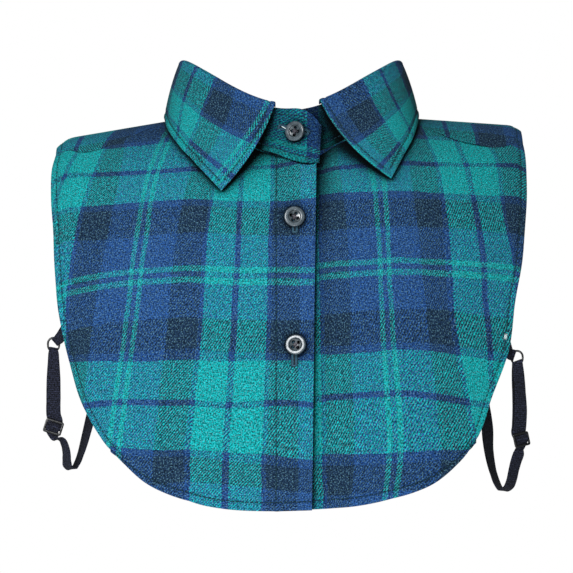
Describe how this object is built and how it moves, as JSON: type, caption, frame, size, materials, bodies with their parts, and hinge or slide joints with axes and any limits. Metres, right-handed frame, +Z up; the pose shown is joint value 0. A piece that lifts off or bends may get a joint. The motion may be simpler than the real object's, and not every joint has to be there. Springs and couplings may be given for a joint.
{
  "type": "dickey",
  "caption": "False shirt front: a pointed collar on a buttoned stand, with a front and a back over the shoulders and adjustable elastic side straps.",
  "frame": {"origin": "middle of the neck ring, where the collar stand meets the shoulders at the sides of the neck", "axes": "+Z up along the wearer's neck, -Y the way the wearer faces, +X to the wearer's left, across the shoulders"},
  "size_m": [0.3213, 0.161, 0.3121],
  "materials": {
    "flannel": "brushed cotton twill, teal green, navy and black tartan",
    "elastic": "black ribbed elastic and tape",
    "button": "dark grey, glossy",
    "black_metal": "black coated wire and plate"
  },
  "bodies": {
    "root": {"front_left": "flannel", "front_right": "flannel", "back_panel": "flannel", "collar_stand": "flannel", "collar_leaf": "flannel", "collar_button": "button", "upper_button": "button", "lower_button": "button", "left_tab": "elastic", "left_ring": "black_metal", "left_strap": "elastic", "left_slider": "black_metal", "right_tab": "elastic", "right_ring": "black_metal", "right_strap": "elastic", "right_slider": "black_metal"}
  },
  "joints": []
}
